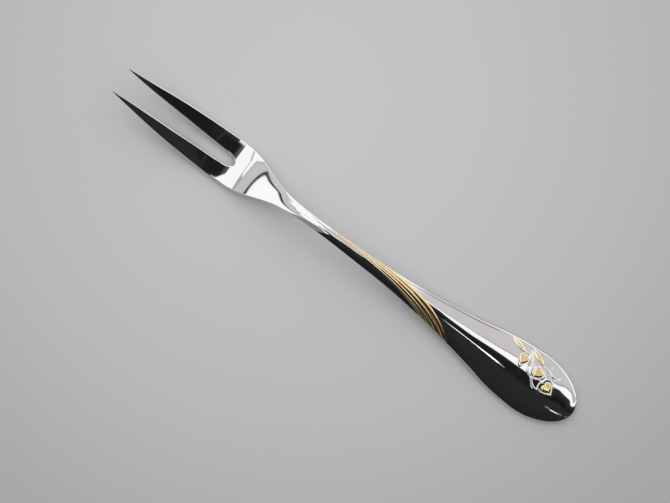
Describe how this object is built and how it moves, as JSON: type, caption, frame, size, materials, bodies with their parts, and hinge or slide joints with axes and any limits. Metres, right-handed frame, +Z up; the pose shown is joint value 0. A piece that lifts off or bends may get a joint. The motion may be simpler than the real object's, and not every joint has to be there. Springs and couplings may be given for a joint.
{
  "type": "meat fork",
  "caption": "Two-tine serving meat fork in mirror-polished steel with gilt ribs sweeping over the neck and a gilt leaf sprig on its rounded handle.",
  "frame": {"origin": "on the table under the middle of the fork's bounding box, with the fork lying as it rests", "axes": "+X from the handle end to the tine tips, +Y to the left seen from the handle, +Z up from the table"},
  "size_m": [0.21, 0.0242, 0.0124],
  "materials": {
    "polished_steel": "mirror-polished stainless steel",
    "gold_plate": "bright gold plate"
  },
  "bodies": {
    "root": {"fork_blank": "polished_steel", "gilt_rib_1": "gold_plate", "gilt_rib_2": "gold_plate", "gilt_rib_3": "gold_plate", "gilt_rib_4": "gold_plate", "gilt_leaf_1": "gold_plate", "gilt_leaf_2": "gold_plate", "gilt_heart_1": "gold_plate", "gilt_heart_2": "gold_plate", "gilt_heart_3": "gold_plate"}
  },
  "joints": []
}
